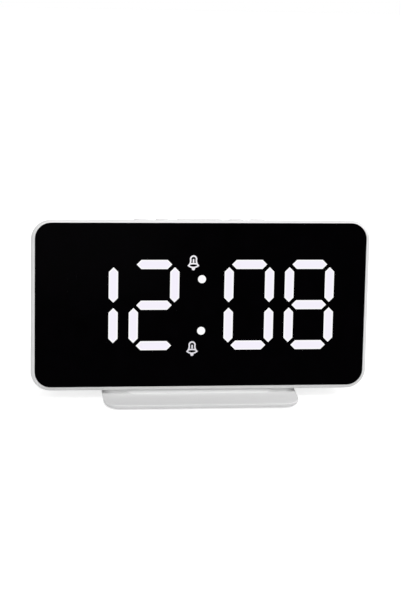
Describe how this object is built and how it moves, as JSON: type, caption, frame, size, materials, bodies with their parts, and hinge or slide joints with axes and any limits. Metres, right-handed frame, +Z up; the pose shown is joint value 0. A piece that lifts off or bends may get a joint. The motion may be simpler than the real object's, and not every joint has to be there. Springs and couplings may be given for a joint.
{
  "type": "digital desk clock",
  "caption": "Digital LED desk clock: black acrylic face with white segmented digits in a slim white leaning case, push keys along the top, flat base plate.",
  "frame": {"origin": "middle of the box's footprint, on the plane that the rubber feet stand on", "axes": "X along the width of the face, left to right as read, Y from the face to the rear, Z up"},
  "size_m": [0.169, 0.06, 0.0886],
  "materials": {
    "white_abs": "satin",
    "black_acrylic": "gloss",
    "lit_diffuser": "satin",
    "foam_tape": "matte",
    "diffuser_sheet": "matte",
    "reflector_white": "matte",
    "board_laminate": "satin",
    "led_package": "satin",
    "chip_epoxy": "matte",
    "black_nylon": "satin",
    "aluminium_can": "satin",
    "zinc_steel": "satin",
    "nickel_steel": "polished",
    "wire_insulation": "satin",
    "ribbon_insulation": "satin",
    "black_rubber": "matte"
  },
  "bodies": {
    "clock": {"front_bezel": "white_abs", "rear_cover": "white_abs", "base_plate": "white_abs", "lens_panel": "black_acrylic", "unlit_segments": "black_acrylic", "icon_masks": "black_acrylic", "lit_segments": "lit_diffuser", "colon_dots": "lit_diffuser", "alarm_icons": "lit_diffuser", "panel_tape": "foam_tape", "diffuser_film": "diffuser_sheet", "reflector": "reflector_white", "display_board": "board_laminate", "key_board": "board_laminate", "segment_leds": "led_package", "controller_chip": "chip_epoxy", "driver_chips": "chip_epoxy", "chip_resistors": "chip_epoxy", "power_jack": "black_nylon", "alarm_buzzer": "black_nylon", "key_switches": "black_nylon", "filter_capacitors": "aluminium_can", "case_screws": "zinc_steel", "board_screws": "zinc_steel", "key_board_screws": "zinc_steel", "base_screws": "zinc_steel", "coin_cell": "nickel_steel", "cell_positive_contact": "nickel_steel", "cell_negative_contact": "nickel_steel", "clock_crystal": "nickel_steel", "power_jack_pin": "nickel_steel", "cell_leads": "wire_insulation", "key_ribbon": "ribbon_insulation", "rubber_feet": "black_rubber"},
    "left_outer_key": {"left_outer_button": "white_abs", "left_outer_plunger": "black_nylon"},
    "left_inner_key": {"left_inner_button": "white_abs", "left_inner_plunger": "black_nylon"},
    "snooze_key": {"snooze_button": "white_abs", "snooze_plunger": "black_nylon"},
    "right_inner_key": {"right_inner_button": "white_abs", "right_inner_plunger": "black_nylon"},
    "right_outer_key": {"right_outer_button": "white_abs", "right_outer_plunger": "black_nylon"},
    "cell_cap": {"battery_cap": "white_abs"}
  },
  "joints": [
    {"name": "left_outer_press", "type": "slide", "parent": "clock", "child": "left_outer_key", "axis": [0, -0.342, -0.9397], "range_m": [0, 0.0005], "stiffness_N_per_m": 800, "springref_m": -0.0015},
    {"name": "left_inner_press", "type": "slide", "parent": "clock", "child": "left_inner_key", "axis": [0, -0.342, -0.9397], "range_m": [0, 0.0005], "stiffness_N_per_m": 800, "springref_m": -0.0015},
    {"name": "snooze_press", "type": "slide", "parent": "clock", "child": "snooze_key", "axis": [0, -0.342, -0.9397], "range_m": [0, 0.0005], "stiffness_N_per_m": 800, "springref_m": -0.0015},
    {"name": "right_inner_press", "type": "slide", "parent": "clock", "child": "right_inner_key", "axis": [0, -0.342, -0.9397], "range_m": [0, 0.0005], "stiffness_N_per_m": 800, "springref_m": -0.0015},
    {"name": "right_outer_press", "type": "slide", "parent": "clock", "child": "right_outer_key", "axis": [0, -0.342, -0.9397], "range_m": [0, 0.0005], "stiffness_N_per_m": 800, "springref_m": -0.0015},
    {"name": "battery_cap_twist", "type": "hinge", "parent": "clock", "child": "cell_cap", "pos_m": [0.04, 0.01967, 0.03428], "axis": [0, 0.9848, -0.1736], "range_deg": [0, 60]}
  ]
}
